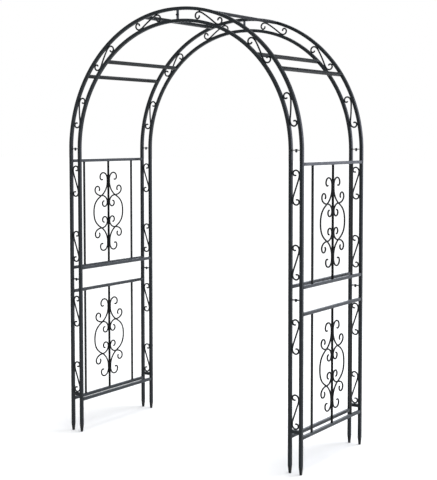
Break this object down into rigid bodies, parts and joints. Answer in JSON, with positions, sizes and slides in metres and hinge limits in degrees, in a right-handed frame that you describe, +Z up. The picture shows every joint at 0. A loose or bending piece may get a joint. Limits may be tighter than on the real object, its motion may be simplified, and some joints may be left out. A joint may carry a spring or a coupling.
{
  "type": "garden trellis arch",
  "caption": "Walk-through garden arch of powder-coated square tube: ladder frames with S scrolls, a round-headed top, cross bars and scrollwork side trellis panels on stake feet.",
  "frame": {"origin": "middle of the footprint, on the plane the stake tips stand on", "axes": "+Z up and the longest way; +X across the walkway; +Y along the walkway, which is the shortest way, with the front frame at -Y"},
  "size_m": [1.402, 0.6066, 2.173],
  "materials": {
    "outer_tube_coat": "satin charcoal powder coat over square steel tube",
    "ladder_coat": "satin charcoal powder coat over square steel tube and 8 mm steel wire",
    "rail_coat": "satin charcoal powder coat over square steel tube",
    "cross_bar_coat": "satin charcoal powder coat over square steel tube",
    "scrollwork_coat": "satin charcoal powder coat over round steel bar and wire",
    "bolt_coat": "dark coated steel fastener"
  },
  "bodies": {
    "root": {"lower_post_outer_front_left": "outer_tube_coat", "lower_post_outer_front_right": "outer_tube_coat", "lower_post_outer_back_left": "outer_tube_coat", "lower_post_outer_back_right": "outer_tube_coat", "upper_post_outer_front_left": "outer_tube_coat", "upper_post_outer_front_right": "outer_tube_coat", "upper_post_outer_back_left": "outer_tube_coat", "upper_post_outer_back_right": "outer_tube_coat", "lower_post_inner_front_left": "ladder_coat", "lower_post_inner_front_right": "ladder_coat", "lower_post_inner_back_left": "ladder_coat", "lower_post_inner_back_right": "ladder_coat", "upper_post_inner_front_left": "ladder_coat", "upper_post_inner_front_right": "ladder_coat", "upper_post_inner_back_left": "ladder_coat", "upper_post_inner_back_right": "ladder_coat", "arch_quarter_outer_front_left": "outer_tube_coat", "arch_quarter_outer_front_right": "outer_tube_coat", "arch_quarter_outer_back_left": "outer_tube_coat", "arch_quarter_outer_back_right": "outer_tube_coat", "arch_quarter_inner_front_left": "ladder_coat", "arch_quarter_inner_front_right": "ladder_coat", "arch_quarter_inner_back_left": "ladder_coat", "arch_quarter_inner_back_right": "ladder_coat", "rail_bottom_left": "rail_coat", "rail_bottom_right": "rail_coat", "rail_lower_top_left": "rail_coat", "rail_lower_top_right": "rail_coat", "rail_upper_bottom_left": "rail_coat", "rail_upper_bottom_right": "rail_coat", "rail_top_left": "rail_coat", "rail_top_right": "rail_coat", "rail_bottom_inner_left": "rail_coat", "rail_bottom_inner_right": "rail_coat", "rail_middle_inner_left": "rail_coat", "rail_middle_inner_right": "rail_coat", "scrollwork_lower_left": "scrollwork_coat", "scrollwork_lower_right": "scrollwork_coat", "scrollwork_upper_left": "scrollwork_coat", "scrollwork_upper_right": "scrollwork_coat", "cross_bar_low_left": "cross_bar_coat", "cross_bar_low_right": "cross_bar_coat", "cross_bar_mid_left": "cross_bar_coat", "cross_bar_mid_right": "cross_bar_coat", "cross_bar_high_left": "cross_bar_coat", "cross_bar_high_right": "cross_bar_coat", "bolt_lower_front_left": "bolt_coat", "bolt_lower_front_right": "bolt_coat", "bolt_lower_back_left": "bolt_coat", "bolt_lower_back_right": "bolt_coat", "bolt_spring_front_left": "bolt_coat", "bolt_spring_front_right": "bolt_coat", "bolt_spring_back_left": "bolt_coat", "bolt_spring_back_right": "bolt_coat", "bolt_apex_front": "bolt_coat", "bolt_apex_back": "bolt_coat"}
  },
  "joints": []
}
